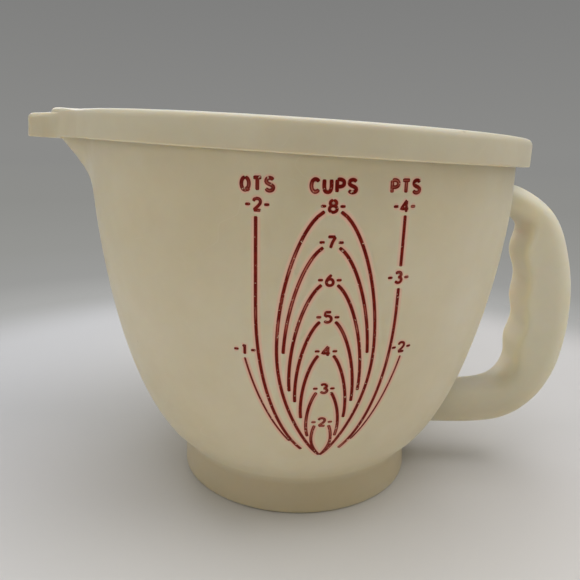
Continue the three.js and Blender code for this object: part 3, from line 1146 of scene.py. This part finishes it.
def makeStage():
    mesh = bpy.data.meshes.new("floor")
    reach = stage["floorReach"]
    mesh.from_pydata([(-reach, -reach, 0), (reach, -reach, 0), (reach, reach, 0), (-reach, reach, 0)],
                     [], [(0, 1, 2, 3)])
    floor = addObject("floor", mesh)
    floor.location.z = -stage["floorDrop"]
    material, tree = newMaterial("floorPaper")
    place = addNode(tree, "ShaderNodeTexCoord").outputs["Object"]
    spot = addNode(tree, "ShaderNodeSeparateXYZ", {"Vector": place}).outputs
    seen = seenRay(tree)
    # painted light and shade on the paper: ramps along and across the floor
    colour = mixColour(tree, 1.0, greyRamp(tree, spot["Y"], stage["floor"]),
                       greyRamp(tree, spot["X"], stage["paintedLightAcross"]), blend="MULTIPLY")
    colour = mixColour(tree, seen, picture(*stage["bounce"]), colour)
    away = addNode(tree, "ShaderNodeVectorMath", {0: place}, operation="LENGTH").outputs["Value"]
    paper = addNode(tree, "ShaderNodeBsdfPrincipled", {
        "Base Color": colour,
        "Roughness": 0.85,
        "Specular IOR Level": 0.15,
    })
    grey = addNode(tree, "ShaderNodeEmission", {"Color": greyRamp(tree, away, stage["backdrop"])})
    far = addNode(tree, "ShaderNodeMapRange", {
        "Value": away,
        "From Min": stage["fadeFrom"],
        "From Max": stage["fadeTo"],
    }, interpolation_type="SMOOTHSTEP")
    share = mathNode(tree, "MULTIPLY", far.outputs["Result"], seen)
    both = addNode(tree, "ShaderNodeMixShader", {0: share, 1: paper.outputs[0], 2: grey.outputs[0]})
    addNode(tree, "ShaderNodeOutputMaterial", {"Surface": both.outputs[0]})
    floor.data.materials.append(material)


def makeWorld():
    # soft light from all round; the eye sees a grey backdrop instead
    world = bpy.data.worlds.new("studio")
    world.use_nodes = True
    bpy.context.scene.world = world
    tree = world.node_tree
    tree.nodes.clear()
    direction = addNode(tree, "ShaderNodeTexCoord").outputs["Generated"]
    upward = addNode(tree, "ShaderNodeSeparateXYZ", {"Vector": direction}).outputs["Z"]
    fade = mapRange(tree, upward, 0.0, stage["fadeHeight"])
    backdrop = mixColour(tree, fade, picture(*stage["horizon"]), picture(*stage["overhead"]))
    light = addNode(tree, "ShaderNodeBackground", {
        "Color": stage["worldTint"],
        "Strength": stage["worldLight"],
    })
    sky = addNode(tree, "ShaderNodeBackground", {"Color": backdrop, "Strength": 1.0})
    both = addNode(tree, "ShaderNodeMixShader", {0: seenRay(tree), 1: light.outputs[0], 2: sky.outputs[0]})
    addNode(tree, "ShaderNodeOutputWorld", {"Surface": both.outputs[0]})


plain = (1.0, 1.0, 1.0)
cool = (0.97, 0.985, 1.07)
warm = (1.0, 0.98, 0.93)
# soft boxes: place and size in metres, the share of a white card's brightness each gives at the bowl, tint
lamps = {
    "overheadSoft": ((0.1, 0.05, 1.25), (1.3, 1.3), 0.93, cool),
    "backHigh": ((0.0, 0.9, 1.1), (1.2, 1.2), 0.09, cool),
    "rightHigh": ((1.0, -0.1, 1.0), (1.0, 1.0), 0.29, plain),
    "leftHigh": ((-1.0, -0.1, 1.0), (1.0, 1.0), 0.19, plain),
    "rightSoft": ((1.1, 0.1, 0.32), (0.8, 0.5), 0.05, plain),
    "frontLeft": ((-0.45, -1.15, 0.35), (0.5, 0.5), 0.16, warm),
    "backLeft": ((-0.45, 1.15, 0.3), (0.6, 0.5), 0.24, plain),
}
lampAim = (0.0, 0.0, 0.08)


def makeLamps():
    for name, (place, size, share, tint) in lamps.items():
        data = bpy.data.lights.new(name, "AREA")
        data.shape = "RECTANGLE"
        data.size, data.size_y = size
        away = Vector(place) - Vector(lampAim)
        data.color = tint
        data.energy = share * math.pi ** 2 * away.length_squared
        light = addObject(name, data)
        light.location = place
        light.rotation_mode = "QUATERNION"
        light.rotation_quaternion = (-away).to_track_quat("-Z", "Y")


viewpoint = {                # millimetres from the bowl's axis and the table
    "place": (-3.94, -251.99, 141.0),
    "look": (0.0004, 0.97043, -0.24139),
    "roll": 1.3695,          # degrees; the picture's right side hangs lower
    "lens": 36.0,
    "sensor": 36.0,
}


def makeCamera():
    data = bpy.data.cameras.new("camera")
    data.lens = viewpoint["lens"]
    data.sensor_width = viewpoint["sensor"]
    camera = addObject("camera", data)
    look = Vector(viewpoint["look"]).normalized()
    right = look.cross(Vector((0, 0, 1))).normalized()
    up = right.cross(look)
    turn = math.radians(viewpoint["roll"])
    tiltedRight = math.cos(turn) * right + math.sin(turn) * up
    tiltedUp = math.cos(turn) * up - math.sin(turn) * right
    axes = Matrix((tiltedRight, tiltedUp, -look)).transposed().to_4x4()
    x, y, z = viewpoint["place"]
    axes.translation = (x * mm + axisX, y * mm, z * mm)
    camera.matrix_world = axes
    bpy.context.scene.camera = camera


makeStage()
makeWorld()
makeLamps()
makeCamera()
bpy.context.scene.view_settings.view_transform = "Standard"
print("stage, lamps and camera done")
